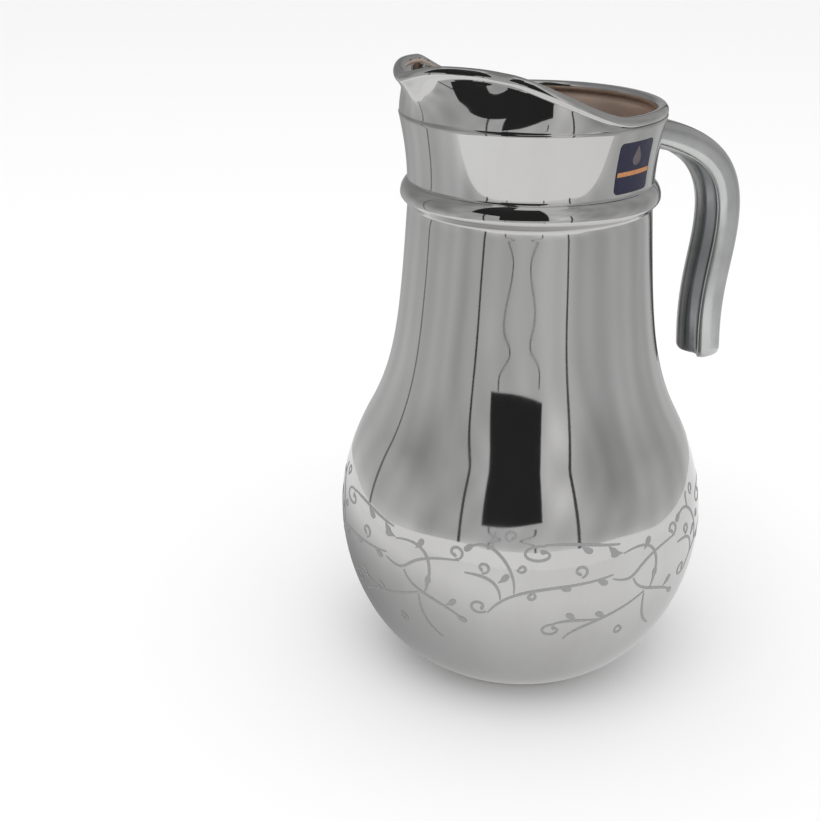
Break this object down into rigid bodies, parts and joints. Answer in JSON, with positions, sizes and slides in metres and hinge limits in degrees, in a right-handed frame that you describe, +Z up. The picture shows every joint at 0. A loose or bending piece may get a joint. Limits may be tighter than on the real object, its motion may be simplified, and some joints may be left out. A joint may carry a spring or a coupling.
{
  "type": "water jug",
  "caption": "Mirror-silvered glass water jug: round bulb, slim neck with bead, flared collar, high hood with pouring lip, open-ended channelled strap handle, etched vines, small label.",
  "frame": {"origin": "centre of the flat foot, on the plane that the jug stands on", "axes": "+Z up along the vessel's axis, -X towards the pouring lip, +X towards the handle, +Y to the left of a person who looks from the lip to the handle"},
  "size_m": [0.1723, 0.1447, 0.2415],
  "materials": {
    "glass": "glossy blown glass, bronze where the back of the coat shows through it",
    "silver_coat": "mirror-bright vapour-deposited silver",
    "satin_coat": "softer satin silver on the handle",
    "etched_silver": "matt etched silver",
    "label_film": "navy film label, semi-gloss",
    "label_ink": "copper-coloured ink"
  },
  "bodies": {
    "root": {"vessel_glass": "glass", "vessel_silver_coat": "silver_coat", "handle_glass": "glass", "handle_silver_coat": "satin_coat", "vine_etching": "etched_silver", "label_sticker": "label_film", "label_print": "label_ink"}
  },
  "joints": []
}
